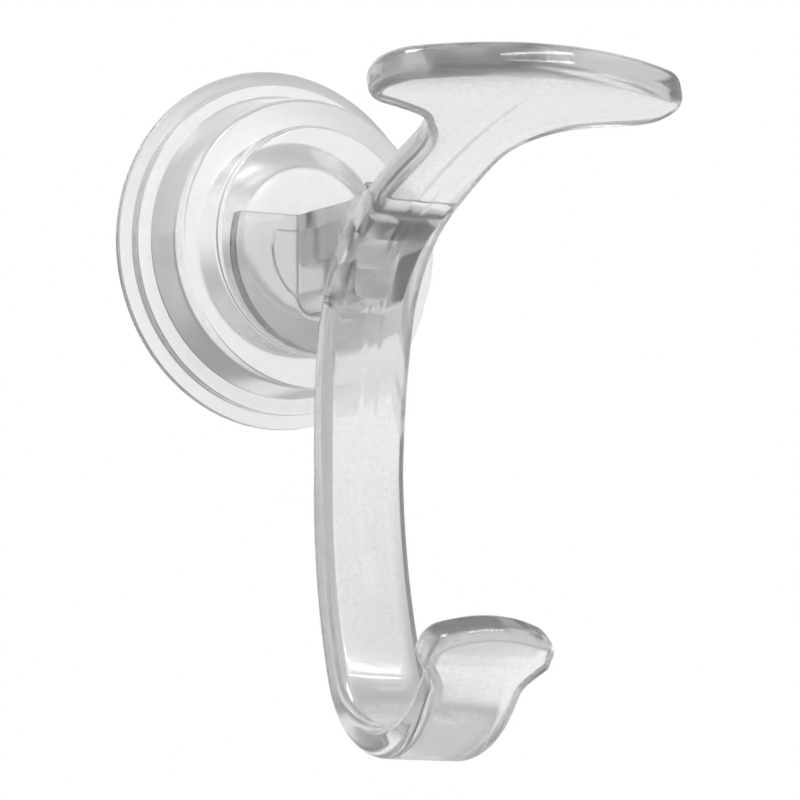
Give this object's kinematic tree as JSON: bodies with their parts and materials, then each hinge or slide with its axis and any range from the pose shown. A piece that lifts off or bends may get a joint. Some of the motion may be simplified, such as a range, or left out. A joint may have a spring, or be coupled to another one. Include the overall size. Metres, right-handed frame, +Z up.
{
  "type": "suction cup hook",
  "caption": "Clear double hook with a broad coat head and a small J below, plugged onto a clear suction cup.",
  "frame": {"origin": "centre of the cup's rim, in the plane of the wall", "axes": "-Y out from the wall into the room, +Z up, +X to the right as seen by a person who faces the wall"},
  "size_m": [0.058, 0.0871, 0.1132],
  "materials": {
    "soft_clear_vinyl": "gloss",
    "rigid_clear_plastic": "gloss"
  },
  "bodies": {
    "root": {"suction_cup": "soft_clear_vinyl", "hook": "rigid_clear_plastic"}
  },
  "joints": []
}
